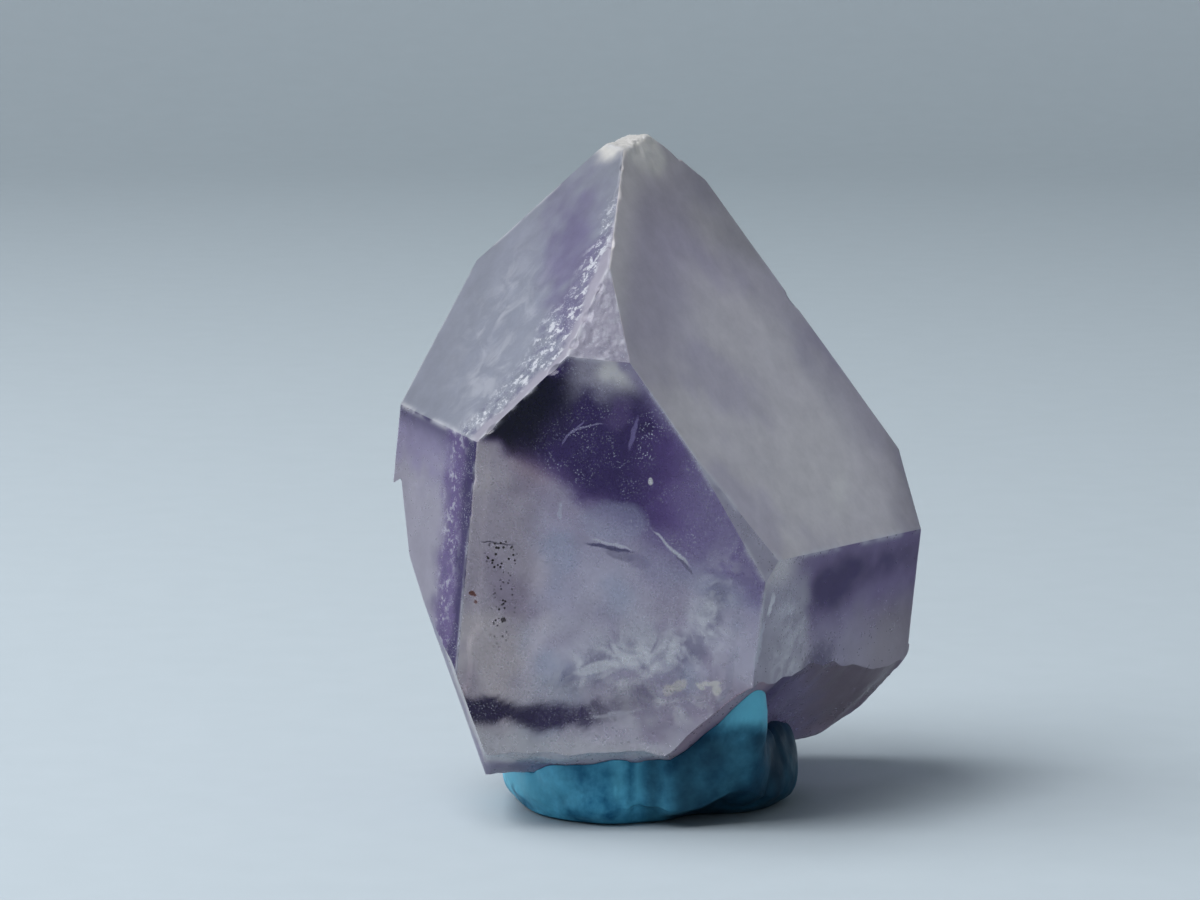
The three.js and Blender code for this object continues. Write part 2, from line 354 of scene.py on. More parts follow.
# Chips out of the sharp edges: the two faces that meet there, the share of the way along, and the size.
CHIPS = [
    ("pointLeft", "pointRight", 0.2, 0.8), ("pointLeft", "pointRight", 0.62, 0.7),
    ("pointLeft", "smallFront", 0.45, 0.75), ("pointLeft", "front", 0.15, 0.6),
    ("pointLeft", "front", 0.85, 0.7), ("front", "frontLeft", 0.08, 0.6),
    ("pointRight", "smallRight", 0.55, 0.7), ("pointRight", "pointBack", 0.5, 0.7),
    ("backRight", "back", 0.3, 1.0), ("backLeft", "back", 0.35, 0.9),
    ("pointLeft", "pointRight", 0.4, 0.35), ("pointLeft", "pointRight", 0.85, 0.4),
    ("pointLeft", "smallFront", 0.15, 0.5), ("pointLeft", "smallFront", 0.75, 0.5),
    ("pointLeft", "front", 0.4, 0.35), ("pointLeft", "front", 0.6, 0.4),
    ("front", "frontLeft", 0.3, 0.3), ("front", "frontLeft", 0.16, 0.35),
    ("front", "frontRight", 0.06, 0.4), ("pointLeft", "frontLeft", 0.4, 0.35),
]


def chipped(points, found):
    """Every chip is a scoop: points inside a ball by the edge go straight out to its surface, which
    noise makes uneven.
    """
    uneven_by = 1.0 + 0.12 * drift(points, 0.35, 29)
    for first, second, at, size in CHIPS:
        ends = [place for trio, place in found if first in trio and second in trio]
        out = NORMALS[first] + NORMALS[second]
        middle = ends[0] + at * (ends[1] - ends[0]) + out / np.linalg.norm(out) * size * 0.75
        away = points - middle
        length = np.maximum(np.linalg.norm(away, axis=1), 1e-9)
        points = middle + away * np.maximum(1.0, size * uneven_by / length)[:, None]
    return points


TIP, TIP_REACH = np.array([-1.4, 1.7, 15.2]), 1.6


def tip_nearness(points):
    """Round soft ball at the tip: exp(-(distance / reach)^2)."""
    return np.exp(-(np.linalg.norm(points - TIP, axis=1) / TIP_REACH) ** 2)


def mesh_object(name, points, faces, smooth=True):
    """A mesh in metres in the object's own frame."""
    mesh = bpy.data.meshes.new(name)
    mesh.from_pydata(((points + SHIFT) * MM).tolist(), [], faces)
    mesh.polygons.foreach_set("use_smooth", np.full(len(mesh.polygons), smooth))
    mesh.update()
    piece = bpy.data.objects.new(name, mesh)
    bpy.context.scene.collection.objects.link(piece)
    return piece


def vertex_normals(points, quads):
    """Each point's normal: the sum of its faces' diagonals' cross products, made one long."""
    cross = np.cross(points[quads[:, 2]] - points[quads[:, 0]], points[quads[:, 3]] - points[quads[:, 1]])
    total = np.zeros_like(points)
    for corner in range(4):
        np.add.at(total, quads[:, corner], cross)
    return total / np.maximum(np.linalg.norm(total, axis=1, keepdims=True), 1e-12)


def margin(points):
    """Distance of the left point face's points from its lower right edges, made uneven by clouds."""
    below_small, below_front = depth_below(points, "smallFront"), depth_below(points, "front")
    return np.minimum(below_small * 0.9, below_front * 0.8) + 0.35 * cloudy(points, 1.6, 23)


def rough_band(points):
    """The crushed, striated line that runs beside those edges, behind a smooth rounded margin."""
    near = margin(points)
    wide = 1.1 + 0.7 * ease(points[:, 2], 3.0, 6.0) * (1 - ease(points[:, 2], 7.0, 9.0))
    return ease(near, 0.35, 0.7) * (1.0 - ease(near, wide, wide + 0.7))


def streaks(points):
    """Short ragged streaks that run along the edge between the left point face and the front."""
    along = np.cross(NORMALS["pointLeft"], NORMALS["front"])
    along /= np.linalg.norm(along)
    squeezed = points - 0.72 * (points @ along)[:, None] * along
    return cloudy(squeezed, 0.32, 107)


def crystal():
    """The crystal, with its worn edges, chips, growth relief and broken base, and its zone colours."""
    points, quads, owner, names = face_patches()
    points, quads, owner = welded(points, quads, owner)
    points = broken_off(points)
    tip = tip_nearness(points)
    radius = 0.14 + 0.07 * drift(points, 0.9, 3) + 0.35 * tip
    radius += 0.12 * (depth_below(points, "frontRight") + depth_below(points, "front") < 1.2)
    radius += 0.35 * (1 - ease(depth_below(points, "backRight"), 0.5, 3.0)) * (points[:, 2] > -9.0)
    points = worn_edges(points, radius)
    points = chipped(points, corners()[0])
    normals = vertex_normals(points, quads)
    on = {name: owner == number for number, name in enumerate(names)}
    relief = 0.014 * cloudy(points, 2.5, 31, 2)
    relief -= 0.10 * tip * (0.6 + cloudy(points, 0.5, 37))
    band = rough_band(points) * on["pointLeft"]
    relief -= 0.06 * band * ease(np.abs(streaks(points)), 0.05, 0.5)
    relief -= 0.05 * on["smallFront"] * np.abs(cloudy(points, 0.6, 43))
    points = points + relief[:, None] * normals
    piece = mesh_object("amethyst_point", standing(points), quads.tolist())
    tint, values = crystal_zones(points, on)
    put_colour(piece, "tint", tint)
    put_colour(piece, "grown", points)
    for name, strengths in values.items():
        put_value(piece, name, strengths)
    return piece


def put_colour(piece, name, values):
    """Three numbers a point as a colour attribute of the mesh."""
    layer = piece.data.attributes.new(name, "FLOAT_COLOR", "POINT")
    flat = np.column_stack([values, np.ones(len(values))]).astype(np.float32)
    layer.data.foreach_set("color", flat.ravel())


def put_value(piece, name, values):
    """One number a point as an attribute of the mesh."""
    layer = piece.data.attributes.new(name, "FLOAT", "POINT")
    layer.data.foreach_set("value", values.astype(np.float32))


# The crystal's colours. Growth zones lie parallel to the faces of the point, so they show as bands
# along the edges on the prism faces.

HAZE = linear("#B4AFBA")
COOL = linear("#999DA8")
GREY = linear("#ECE6E2")
WARM = linear("#E8DEDE")
LILAC = linear("#9488AE")
VIOLET = linear("#70598F")
PURPLE = linear("#65488C")
DEEP = linear("#301F57")
DUSK = linear("#77748F")
PALE = linear("#D2CDD9")
BLUISH = linear("#B3BDD0")
MAUVE = linear("#A797AE")
NAVY_AND_PAINTED_SHADE = linear("#02021E")
# Near black: partly deep violet colour, partly painted shade standing for dark internal reflection.
MILK = linear("#F0F0F1")
CREAM = linear("#FBF8EE")
PINK = linear("#CCB3BA")
BROWN = linear("#8C7D79")


class Tint:
    """A colour at every point, that further colours are laid over by weights between 0 and 1."""

    def __init__(self, count, colour):
        self.colour = np.tile(colour, (count, 1))

    def lay(self, colour, weight):
        weight = np.clip(weight, 0.0, 1.0)[:, None]
        self.colour = self.colour * (1.0 - weight) + colour * weight


def noises(points):
    """Wide, middling and small clouds that break up the zones' borders."""
    return cloudy(points, 5.0, 51), cloudy(points, 2.2, 57), cloudy(points, 0.8, 61, 2)


def ragged(mask, clouds, amount, low, high):
    """A mask with a torn border: its soft flank is moved in and out by clouds, then sharpened."""
    return ease(mask * (1.0 + amount * clouds), low, high)


def front_zones(tint, points, under, on):
    """The front face: a dark blue wedge, partly deep colour and partly painted shade, and deep violet above a
    slanting border, milk clouds below, and a pale lower rim partly brightened with painted light.
    """
    wide, middling, small = noises(points)
    x, z = points[:, 0], points[:, 2]
    front = on["front"].astype(float)
    over = z + 1.25 + 0.35 * ease(x, -4.0, -1.0) + 0.42 * x
    over = over + (0.25 + 0.4 * ease(x, -4.5, 0)) * middling + 0.2 * small
    violet = ease(over, -0.35 - 0.6 * ease(x, -4.5, 1.0), 0.5 + 0.8 * ease(x, -4.5, 1.0))
    navy_and_painted_shade = 1 - ease(under["pointLeft"] + 0.3 * small + 0.3 * middling, 0.9, 3.0)
    navy_and_painted_shade *= (1 - ease(x + 0.5 * small, -4.0, -2.0)) * ease(over, -0.2, 0.6)
    tint.lay(PALE, front)
    tint.lay(WARM, front * (1 - ease(x + 0.8 * middling, -5.0, -2.6)))
    tint.lay(LILAC, front * 0.35 * ease(wide + 0.3 * middling, 0.0, 0.6))
    tint.lay(BLUISH, front * 0.55 * ease(cloudy(points, 3.0, 131, 3), 0.0, 0.5) * ease(x, -5.0, -3.5))
    tint.lay(MAUVE, front * 0.5 * ease(cloudy(points, 2.6, 137, 3), 0.05, 0.5))
    tint.lay(LILAC, front * 0.5 * ease(over, -3.0, 0.2) * ease(x, -3.0, 1.0))
    tint.lay(PURPLE, front * 0.95 * violet)
    deep = violet * (1 - ease(x - 0.1 * z + 0.5 * middling, -0.8, 3.2)) * ease(over, -0.2, 1.4)
    tint.lay(LILAC, front * 0.65 * violet * ease(x + 0.5 * middling, 1.5, 4.0))
    tint.lay(DEEP, front * 0.92 * deep)
    tint.lay(VIOLET, front * 0.5 * deep * ragged(spot(x, z, (-0.9, 3.9), (0.9, 0.9)), small, 1.2, 0.3, 0.9))
    navy_and_painted_shade *= ease(under["smallFront"] + 0.35 * small, 0.2, 0.9)
    # The dark blue wedge: partly deep colour, partly painted shade of internal reflection.
    tint.lay(NAVY_AND_PAINTED_SHADE, front * 0.97 * navy_and_painted_shade)
    tint.lay(PINK, front * 0.5 * spot(x, z, (-4.7, 0.5), (1.3, 0.5), -22))
    top = 1 - ease(under["smallFront"] + 0.35 * small, 0.35, 1.5)
    tint.lay(HAZE, front * 0.8 * top * ease(x, -3.8, -2.6))
    tint.lay(CREAM, front * 0.9 * ragged(spot(x, z, (-1.1, 5.7), (1.3, 0.75)), small, 0.5, 0.0, 1.1))
    beside_ridge = 1 - ease(under["pointRight"] + 0.2 * small, 0.15, 0.7)
    tint.lay(LILAC, front * 0.6 * beside_ridge * ease(z, 2.0, 4.0))
    tint.lay(VIOLET, front * 0.6 * ragged(spot(x, z, (0.9, -7.15), (1.2, 0.36)), small, 1.0, 0.3, 0.9))
    clouds = spot(x, z, (1.4, -8.2), (2.8, 1.7), 15) + 0.9 * spot(x, z, (-1.4, -9.2), (2.0, 0.8), 25)
    clouds += 0.8 * spot(x, z, (4.4, -6.4), (1.1, 3.4), -12) + 0.7 * spot(x, z, (3.4, -10.4), (3.0, 1.0), 12)
    wisps = cloudy(points + 0.7 * np.stack([middling, middling, small], axis=-1), 1.5, 127)
    tint.lay(DUSK, front * 0.6 * ragged(clouds, -wisps, 1.2, 0.4, 1.2))
    low = stroke(x, z, [(-6.9, -11.5), (-3.3, -11.55), (-0.6, -11.0), (1.8, -9.9)], 0.75)
    low = ragged(low, small + 0.4 * middling, 0.9, 0.25, 0.85)
    tint.lay(DEEP, front * 0.95 * low * (1 - 0.6 * ease(x, -1.5, 1.4)))
    tint.lay(NAVY_AND_PAINTED_SHADE, front * 0.35 * low * (1 - ease(x, -4.0, -2.2)))
    # Pale lower rim of the front: partly pale chipped quartz, partly painted light.
    tint.lay(MILK, front * 0.7 * (1 - ease(z + 12.9 - 0.02 * x + 0.3 * small, 0.1, 1.2)))
    return violet, navy_and_painted_shade, low, front * np.clip(clouds, 0, 1)


def side_zones(tint, points, under, on):
    """The prism faces to the left and right of the front."""
    _, middling, small = noises(points)
    z = points[:, 2]
    left, right = on["frontLeft"].astype(float), on["frontRight"].astype(float)
    back_from_edge = under["front"]
    tint.lay(HAZE, left)
    tint.lay(LILAC, left * 0.7 * (1 - ease(under["pointLeft"] + 0.6 * small, 0.6, 2.6)))
    tint.lay(DEEP, left * 0.8 * np.exp(-(under["pointLeft"] / 0.45) ** 2))
    stripe = 1 - ease(back_from_edge + 0.5 * small, 1.6, 3.3)
    tint.lay(VIOLET, left * 0.95 * stripe)
    tint.lay(DEEP, left * 0.7 * stripe * ease(middling, -0.3, 0.5))
    tint.lay(DEEP, left * 0.85 * (1 - ease(back_from_edge + 0.3 * small, 0.4, 1.2)))
    tint.lay(VIOLET, left * 0.5 * (1 - ease(z + 0.5 * middling, -11.5, -9.0)))
    tint.lay(GREY, right)
    tint.lay(LILAC, right * 0.55 * ease(back_from_edge + 0.6 * middling, 3.2, 4.6))
    top = 1 - ease(under["pointRight"] + 0.5 * middling, 1.4, 3.6)
    tint.lay(VIOLET, right * 0.9 * top * ease(back_from_edge, 1.2, 3.4))
    blob = spot(back_from_edge, z, (5.6, -4.9), (2.0, 1.4))
    blob = blob + 0.7 * spot(back_from_edge, z, (9.5, -4.2), (4.0, 1.1))
    tint.lay(DEEP, right * 0.95 * ragged(blob, small, 0.4, 0.1, 0.95))
    low = spot(back_from_edge, z, (5.4, -9.0), (2.4, 1.6))
    tint.lay(DEEP, right * 0.75 * ragged(low, small, 0.5, 0.1, 1.0))
    tint.lay(BROWN, right * 0.5 * ease(back_from_edge + middling, 7.0, 11.0) * (1 - ease(z, -7.5, -5.5)))
    milk = (1 - ease(back_from_edge + 0.5 * small + 0.3 * middling, 3.3, 4.0)) * (1 - ease(z, -4.6, -3.2))
    tint.lay(HAZE, right * 0.95 * milk)


def point_zones(tint, points, under, on):
    """The faces of the point: frosted grey with violet showing through near the top."""
    wide, middling, small = noises(points)
    z = points[:, 2]
    left, right = on["pointLeft"].astype(float), on["pointRight"].astype(float)
    tint.lay(COOL, left)
    patch = spot(under["pointRight"], z, (2.2, 9.6), (2.6, 4.2), -15)
    patch = ragged(patch, small + 0.5 * middling, 0.6, 0.1, 1.1)
    tint.lay(VIOLET, left * 0.6 * patch)
    tint.lay(DUSK, left * 0.55 * patch)
    tint.lay(HAZE, left * (1 - ease(margin(points), 0.3, 0.9)))
    tint.lay(GREY, right)
    haze = ease(under["pointLeft"], 0.3, 2.2) * (1 - ease(under["pointLeft"] + 0.8 * middling, 3.6, 8.0))
    tint.lay(LILAC, right * 0.4 * haze * ease(z + 0.6 * middling, 3.0, 7.5) * (1 - ease(z, 12.5, 15.0)))
    tint.lay(LILAC, right * 0.3 * ease(wide, 0.0, 0.6))
    outer = np.minimum(under["backRight"], under["smallRight"])
    tint.lay(DUSK, right * 0.35 * (1 - ease(outer + 0.6 * middling, 0.2, 3.4)))
    tint.lay(CREAM, right * 0.6 * spot(under["pointLeft"], z, (17.3, -0.6), (0.5, 0.8)))
    tint.lay(HAZE, on["smallFront"].astype(float))


def base_zones(tint, points, on):
    """The broken base: violet and smoky, darkest in the flake scar at the right front."""
    wide, _, small = noises(points)
    there = standing(points)
    x, y = there[:, 0], there[:, 1]
    root = on["root"].astype(float)
    tint.lay(LILAC, root * 0.7 * ease(wide + 0.4 * small, -0.4, 0.4))
    scar = ease(scar_height(x, y) - np.maximum(left_height(x, y), belly_height(x, y)), -0.4, 0.4)
    tint.lay(VIOLET, root * scar * 0.6)
    tint.lay(DEEP, root * scar * 0.6 * spot(x, y, (8.0, -8.0), (3.0, 3.0)))
    tint.lay(BROWN, root * scar * 0.75 * ease(x + 0.8 * small, 9.0, 12.0))
    rim = 1 - ease(depth_below(points, "front") + 0.4 * small, 0.5, 2.2)
    tint.lay(PINK, root * 0.8 * rim)
    # Pale rim under the front edge: partly pale chipped quartz, partly painted light where it faces down.
    tint.lay(MILK, root * 0.85 * rim * (1 - scar))


def crystal_zones(points, on):
    """The tint and the strengths of the finer patterns for every point, from its depths under the faces."""
    wide, middling, small = noises(points)
    under = {name: depth_below(points, name) for name in FACES}
    x, z = points[:, 0], points[:, 2]
    tint = Tint(len(points), HAZE)
    nearest = np.minimum.reduce([under[name] for name in POINT_FACES])
    for name in ("backRight", "back", "backLeft"):
        tint.lay(LILAC, on[name] * 0.6 * ease(wide, -0.3, 0.6))
        tint.lay(VIOLET, on[name] * 0.75 * (1 - ease(nearest + 0.6 * middling, 0.8, 3.6)))
    violet, navy_and_painted_shade, low, milky = front_zones(tint, points, under, on)
    side_zones(tint, points, under, on)
    point_zones(tint, points, under, on)
    base_zones(tint, points, on)
    tip = tip_nearness(points)
    tint.lay(CREAM, 0.85 * ragged(tip, small, 0.5, 0.1, 0.4))
    edge = np.sort(np.stack([under[name] for name in FACES], axis=1), axis=1)[:, 1]
    # Pale worn edges: partly the white of chipping, partly painted highlight along the edges.
    tint.lay(MILK, 0.6 * np.exp(-(edge / 0.10) ** 2) * ease(cloudy(points, 1.1, 71), -0.4, 0.3))

    rough = rough_band(points) * on["pointLeft"]
    frost = 0.32 + 0.05 * middling + 0.12 * (on["pointLeft"] | on["pointRight"]) + 0.2 * tip
    frost += 0.1 * on["smallFront"] - 0.08 * on["front"]
    near_edge = 1 - ease(under["front"] + 0.4 * small, 0.8, 2.2)
    sown = 0.3 + 0.5 * ease(violet, 0.1, 0.7) * (1 - navy_and_painted_shade) + 0.3 * ease(middling, 0.0, 0.5)
    dust = np.maximum.reduce([on["front"] * sown * (1 - 0.97 * navy_and_painted_shade), on["front"] * low,
                              on["frontLeft"] * near_edge, rough, on["smallFront"] * 0.8])
    torn = np.exp(-((under["front"] - 1.7) / 0.7) ** 2)
    crushed = np.maximum.reduce([rough, 0.3 * on["smallFront"], 0.6 * on["frontLeft"] * torn])
    specks = spot(x, z, (-5.8, -3.7), (0.7, 0.7)) + 0.55 * spot(x, z, (-5.4, -6.5), (0.9, 2.6))
    pale = spot(under["pointRight"], z, (7.2, 5.6), (2.4, 5.0), 32)
    milky = np.maximum(milky, 0.28 * on["pointLeft"] * ragged(pale, middling, 0.6, 0.1, 0.9))
    beside = spot(under["front"], z, (2.4, -7.4), (1.6, 2.6))
    milky = np.maximum(milky, 0.8 * on["frontRight"] * ragged(beside, small, 0.8, 0.1, 0.9))
    values = {"frost": np.clip(frost, 0.12, 0.7), "dust": np.clip(dust, 0, 1), "crushed": crushed,
              "specks": np.clip(on["front"] * specks, 0, 1), "milky": milky}
    return tint.colour, values


# The putty's shape

# The side of the lump as shares of its reach and of its edge height, from the middle of the foot
# to the middle of the top.
PUTTY_PROFILE = np.array([
    (0, 0), (0.45, 0), (0.84, 0), (0.93, 0.07), (0.985, 0.22), (1, 0.42), (0.99, 0.62), (0.95, 0.82),
    (0.87, 0.96), (0.7, 1.04), (0.4, 1.08), (0, 1.1)])
PUTTY_ROWS, PUTTY_SIDES = 150, 300


def through(knots, count):
    """A smooth curve through the knots, each stretch a cubic whose slopes follow its neighbours."""
    padded = np.vstack([2 * knots[0] - knots[1], knots, 2 * knots[-1] - knots[-2]])
    place = np.linspace(0, len(knots) - 1, count)
    i = np.minimum(place.astype(int), len(knots) - 2)
    t = (place - i)[:, None]
    a, b, c, d = (padded[i + n] for n in range(4))
    bent = (2 * a - 5 * b + 4 * c - d) * t ** 2 + (3 * b - a - 3 * c + d) * t ** 3
    return 0.5 * (2 * b + (c - a) * t + bent)


def swell(angle, at, width):
    """Bell curve round the lump, width in degrees."""
    off = (angle - at + 180.0) % 360.0 - 180.0
    return np.exp(-(off / width) ** 2)


def putty():
    """The lump: its profile carried round a footprint of two half ovals, with a pinch in front and a
    tongue squeezed up beside it, pressed down to the crystal's underside from above.
    """
    profile = through(PUTTY_PROFILE, PUTTY_ROWS)
    share, rise = profile[1:-1, 0][:, None], np.maximum(profile[1:-1, 1], 0)[:, None]
    angle = np.arange(PUTTY_SIDES)[None, :] * 360.0 / PUTTY_SIDES
    turn = np.radians(angle)
    pinch = 1 - (PINCH_DEPTH / REACH_FRONT * swell(angle, PINCH_ANGLE, PINCH_WIDTH)
                 * np.where(rise > 0, 1, 0.5))
    lumps = 1 + 0.02 * np.sin(3 * turn + 0.7) + 0.012 * np.sin(7 * turn)
    tuck = 1 - TUCK_DEPTH * swell(angle, TUCK_ANGLE, TUCK_WIDTH) * np.maximum(0, 1 - rise / TUCK_UP_TO)
    tongue = swell(angle, TONGUE_ANGLE, TONGUE_WIDTH)
    reach = share * pinch * lumps * (1 + TONGUE_REACH * rise * tongue) * tuck
    depth = np.where(np.sin(turn) < 0, REACH_FRONT, REACH_BACK)
    edge = PUTTY_EDGE + TONGUE_RISE * tongue * np.where(share > 0.6, 1, 0.2)
    x = PUTTY_X + reach * REACH_SIDE * np.cos(turn)
    y = PUTTY_Y + reach * depth * np.sin(turn)
    body = np.stack([x, y, rise * edge], axis=-1).reshape(-1, 3)
    ends = np.array([[PUTTY_X, PUTTY_Y, 0.0], [PUTTY_X, PUTTY_Y, 1.1 * PUTTY_EDGE]])
    points = np.vstack([body, ends])
    rows = PUTTY_ROWS - 2
    index = np.arange(rows * PUTTY_SIDES).reshape(rows, PUTTY_SIDES)
    after = np.roll(index, -1, axis=1)
    quads = np.stack([index[:-1], after[:-1], after[1:], index[1:]], axis=-1).reshape(-1, 4)
    foot, top = len(body), len(body) + 1
    caps = [[foot, b, a] for a, b in zip(index[0], after[0])]
    caps += [[top, a, b] for a, b in zip(index[-1], after[-1])]
    points = kneaded(points, quads)
    ceiling = fine_break(points[:, 0], points[:, 1]) - 0.04
    points[:, 2] = np.minimum(points[:, 2], ceiling)
    points[:, 2] = np.where(np.arange(len(points)) == foot, 0.0, np.maximum(points[:, 2], 0.0))
    piece = mesh_object("blue_putty", points, quads.tolist() + caps)
    # Pale stretch marks with painted highlight, and painted shade, carried to the putty's colour.
    put_value(piece, "stretch", stretch_marks_and_painted_highlight(points))
    put_value(piece, "shade", painted_shade_on_putty(points))
    return piece


def kneaded(points, quads):
    """Finger dents and folds: the side is moved in and out by slow noise, creases and a fine skin."""
    normals = vertex_normals(points, quads)
    side = ease(points[:, 2], 0.05, 0.6)
    angle = np.degrees(np.arctan2(points[:, 1] - PUTTY_Y, points[:, 0] - PUTTY_X))
    dents = 0.22 * cloudy(points, 3.2, 83, 3)
    folds = -0.16 * np.exp(-(drift(points * [1, 1, 0.45], 2.4, 89) / 0.10) ** 2)
    pinched = -0.45 * swell(angle, -95, 9) + 0.16 * swell(angle, -99, 2.0) + 0.12 * swell(angle, -92, 1.8)
    skin = 0.02 * cloudy(points, 0.5, 97)
    return points + (side * (dents + folds + pinched + skin))[:, None] * normals


def stretch_marks_and_painted_highlight(points):
    """How far the putty was pulled thin along the pinch, with painted highlight on the top of the tongue and
    over the left lobe, which faces the window.
    """
    angle = np.degrees(np.arctan2(points[:, 1] - PUTTY_Y, points[:, 0] - PUTTY_X))
    streaks = ease(cloudy(points * [1.0, 1.0, 0.25], 0.5, 101), 0.0, 0.6)
    pinch = (0.9 * swell(angle, -103, 2.2) + swell(angle, -95, 1.8)) * (0.35 + 0.65 * streaks)
    pinch *= ease(points[:, 2], 0.9, 2.0)
    # Painted highlight on the tongue's top.
    tongue = 0.8 * swell(angle, -56, 14) * ease(points[:, 2] + 0.3 * streaks, 4.7, 5.6)
    # Painted highlight on the left lobe, towards the window.
    left = swell(angle, -168, 30) * ease(points[:, 2] + 0.7 * cloudy(points, 1.0, 103), 0.2, 1.5)
    return np.clip(pinch + tongue + left, 0.0, 1.0)


def painted_shade_on_putty(points):
    """Painted shade on the putty: the right lobe's side, turned away from the window and less towards its
    top, and the crease beside the pinch.
    """
    angle = np.degrees(np.arctan2(points[:, 1] - PUTTY_Y, points[:, 0] - PUTTY_X))
    right = ease(angle, -92.0, -74.0) * (1 - ease(angle, 20.0, 70.0))
    shade_patches = 0.82 + 0.2 * cloudy(points * [1.0, 1.0, 0.7], 1.8, 139, 3)
    right *= (1 - 0.8 * ease(points[:, 2] + 0.5 * cloudy(points, 1.3, 109), 4.2, 5.6)) * shade_patches
    return np.clip(right + 0.5 * swell(angle, -89, 4), 0.0, 0.95)


# Materials

# Small marks on the front face, in the crystal's own frame: x, z, half length, half width, tilt in degrees,
# colour and strength. The last two are a painted glint and a painted highlight on the edge with the right
# prism face.
MARKS = [
    (-0.5, -1.5, 1.8, 1.05, 4, "#B4B7CC", 0.4),
    (-0.55, -2.82, 1.3, 0.10, -3, "#45406A", 0.85),
    (-0.5, -2.62, 1.1, 0.07, -6, "#ECEDF0", 0.6),
    (0.0, -3.1, 0.75, 0.30, -12, "#5A5474", 0.45),
    (0.9, -3.3, 0.6, 0.35, -20, "#7D7597", 0.4),
    (3.1, -3.2, 0.75, 0.10, -45, "#5F5A74", 0.6),
    (-3.1, -1.2, 0.10, 0.55, 12, "#DADDE8", 0.6),
    (2.4, -2.5, 1.3, 0.09, -39, "#ECEDF0", 0.75),
    (-6.0, -3.15, 0.9, 0.05, -2, "#3B3347", 0.7),
    (-5.3, -6.9, 0.12, 0.12, 0, "#2A1B18", 0.9),
    (-6.9, -5.75, 0.16, 0.12, 0, "#7A3B1C", 0.9),
    (-6.75, -6.1, 0.09, 0.09, 0, "#7A3B1C", 0.8),
    (1.1, 0.6, 0.16, 0.20, 0, "#EDEBE4", 0.95),
    (-2.9, 2.6, 0.9, 0.07, 55, "#9E93BD", 0.7),
    (-2.2, 3.0, 0.8, 0.05, 20, "#B7AFCF", 0.6),
    (0.0, 2.9, 0.12, 0.9, -8, "#8F80B4", 0.7),
    (0.6, 3.2, 0.5, 0.4, 0, "#2A1B4E", 0.6),
    (3.4, -9.2, 0.55, 0.30, 25, "#F3EEE2", 0.7),
    (2.9, -9.5, 0.30, 0.35, 0, "#F3EEE2", 0.6),
    (5.0, -8.9, 0.65, 0.14, 8, "#FBF8EE", 0.95),
    (5.3, -9.2, 0.28, 0.30, 0, "#FBF8EE", 0.95),
    (4.5, -9.1, 0.25, 0.12, -30, "#FBF8EE", 0.9),
    (2.9, -7.6, 0.22, 0.8, -10, "#F0F0F1", 0.6),
    (-0.7, -8.8, 1.1, 0.30, 22, "#F0F0F1", 0.7),
    (0.6, -10.9, 1.4, 0.10, 14, "#E4E3EC", 0.6),
    # Painted glint and painted highlight down the edge with the right prism face.
    (7.5, -4.9, 0.10, 0.60, -8, "#FFFFFF", 0.95),
    (7.15, -6.8, 0.13, 1.30, -6, "#E3E5EC", 0.6),
]
FRONT_Y = -10.5

# Quartz and putty: how they bend light, how much they mirror it, and what quartz lets through.
QUARTZ_IOR, QUARTZ_MIRRORS, QUARTZ_CLEAR = 1.544, 0.07, 0.6
QUARTZ_DEPTH_COLOUR, QUARTZ_DENSITY = "#B4A9CC", 12.0
PUTTY_IOR, PUTTY_MIRRORS = 1.48, 0.25
BUMP_METRES = 0.00004

# The height in millimetres over which the backdrop is painted paler, as painted light on the rising wall.
PAINTED_LIGHT_RISE = 90.0


def material(name):
    """A new material and its empty node tree."""
    made = bpy.data.materials.new(name)
    made.use_nodes = True
    made.node_tree.nodes.clear()
    return made, made.node_tree


def node(tree, kind, links=None, **settings):
    """A node of that kind. Settings name its properties, or its sockets with plain values, and links
    give what feeds a socket.
    """
    made = tree.nodes.new(kind)
    for key, value in settings.items():
        if hasattr(made, key):
            setattr(made, key, value)
        else:
            made.inputs[key.replace("_", " ")].default_value = value
    for key, source in (links or {}).items():
        tree.links.new(source, made.inputs[key])
    return made


def per_mm(size):
    """Texture scale for a pattern whose features are that many millimetres apart."""
    return 1000.0 / size


def noise(tree, place, size, detail=4.0, roughness=0.5):
    """Clouds whose largest features are that many millimetres apart."""
    made = node(tree, "ShaderNodeTexNoise", {"Vector": place},
                Scale=per_mm(size), Detail=detail, Roughness=roughness)
    return made.outputs["Fac"]


def mapped(tree, source, low, high, to_low=0.0, to_high=1.0):
    """The source's range from low to high turned into the range from to_low to to_high."""
    made = node(tree, "ShaderNodeMapRange", {"Value": source})
    for key, value in zip(("From Min", "From Max", "To Min", "To Max"), (low, high, to_low, to_high)):
        made.inputs[key].default_value = value
    return made.outputs["Result"]


def sum_of(tree, kind, first, second):
    """Two values combined: kind is ADD, MULTIPLY and so on."""
    return node(tree, "ShaderNodeMath", {0: first, 1: second}, operation=kind).outputs[0]


def blend(tree, amount, under, over):
    """Colour mix. Under may be a socket or a hex colour, over is a hex colour."""
    made = node(tree, "ShaderNodeMix", {0: amount}, data_type="RGBA")
    if isinstance(under, str):
        made.inputs[6].default_value = (*linear(under), 1.0)
    else:
        tree.links.new(under, made.inputs[6])
    made.inputs[7].default_value = (*linear(over), 1.0)
    return made.outputs[2]


def attribute(tree, name, output="Fac"):
    """What the mesh carries under that name."""
    return node(tree, "ShaderNodeAttribute", attribute_name=name).outputs[output]


def grains(tree, place, size, radius):
    """Round grains in some cells of a lattice of that size, the radius as a share of a cell."""
    cells = node(tree, "ShaderNodeTexVoronoi", {"Vector": place}, Scale=per_mm(size))
    return mapped(tree, cells.outputs["Distance"], radius, radius * 0.7)


